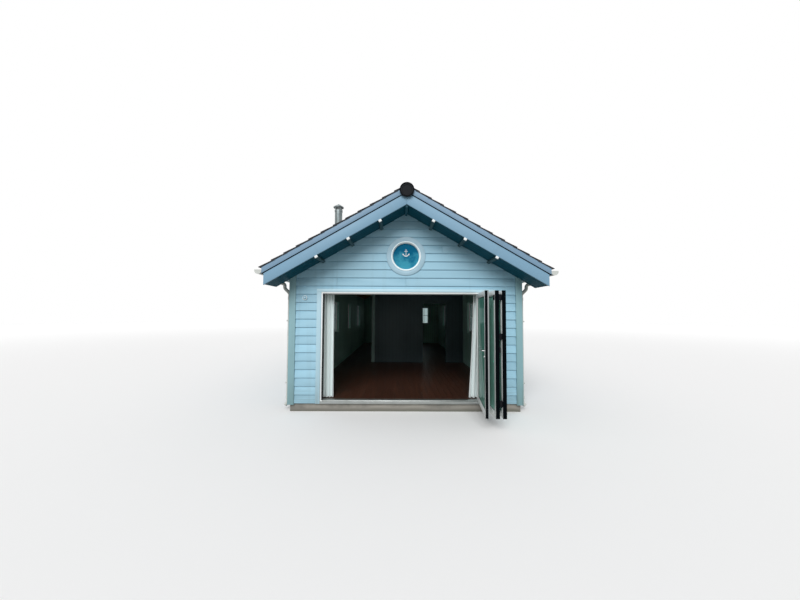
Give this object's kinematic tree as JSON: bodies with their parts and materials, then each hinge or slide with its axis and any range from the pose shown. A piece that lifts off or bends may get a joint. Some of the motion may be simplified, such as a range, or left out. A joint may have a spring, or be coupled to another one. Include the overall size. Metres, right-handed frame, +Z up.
{
  "type": "beach hut",
  "caption": "Weatherboarded timber hut with a gabled tiled roof, a round gable window, folding glass doors, casement windows and a steel flue.",
  "frame": {"origin": "middle of the underside of the base, on the ground, midway between the front and rear walls", "axes": "+X to the right seen from the front, +Y from the front wall to the rear wall along the ridge, +Z up"},
  "size_m": [5.3406, 12.8286, 4.829],
  "materials": {
    "cladding": "painted light sky-blue weatherboards, satin",
    "trim_paint": "painted pale blue trim, satin",
    "verge_paint": "painted grey-blue boards, satin",
    "white_timber": "painted white, satin",
    "white_frame": "white frames with black seals",
    "roof_tile": "flat interlocking concrete tiles, grey-brown, matt",
    "black_plastic": "black moulded caps, matt",
    "gutter_plastic": "pale grey rainwater goods",
    "flue_steel": "stainless twin-wall flue, brushed and weathered",
    "lead": "lead-grey flashing, matt",
    "door_glass": "green-tinted sealed glazing",
    "window_glass": "clear sealed glazing over dark rooms",
    "round_glass": "turquoise-blue film on glass",
    "floor_boards": "dark-stained boards",
    "inner_wall": "dark green painted lining, matt",
    "raw_timber": "planed softwood",
    "concrete": "cast concrete, matt",
    "aluminium": "satin anodised",
    "lamp": "opal round lamp",
    "curtain_cloth": "cream-white woven cloth"
  },
  "bodies": {
    "root": {"base": "concrete", "floor": "floor_boards", "threshold": "aluminium", "front_wall_left": "cladding", "front_wall_right": "cladding", "front_gable": "cladding", "left_wall": "cladding", "right_wall": "cladding", "rear_wall": "cladding", "partition": "inner_wall", "partition_post": "white_timber", "ridge_board": "raw_timber", "rafters_left": "verge_paint", "rafters_right": "verge_paint", "roof_left": "roof_tile", "roof_right": "roof_tile", "ridge_tiles": "roof_tile", "ridge_end_caps": "black_plastic", "boxed_verges": "verge_paint", "gable_brackets": "white_timber", "bargeboards": "verge_paint", "verge_boards": "verge_paint", "gutter_left": "gutter_plastic", "gutter_right": "gutter_plastic", "downpipes": "gutter_plastic", "flue_pipe": "flue_steel", "flue_cowl": "flue_steel", "flue_flashing": "lead", "corner_boards": "trim_paint", "door_surround": "trim_paint", "door_frame": "white_frame", "door_leaf_1": "white_frame", "door_leaf_2": "white_frame", "door_leaf_3": "white_frame", "door_glass": "door_glass", "round_window_surround": "trim_paint", "round_window_frame": "white_frame", "round_window_glass": "round_glass", "window_casings": "trim_paint", "window_frames": "white_frame", "window_glass": "window_glass", "curtain_left": "curtain_cloth", "curtain_right": "curtain_cloth", "curtain_rail": "aluminium", "wall_lamp": "lamp"}
  },
  "joints": []
}
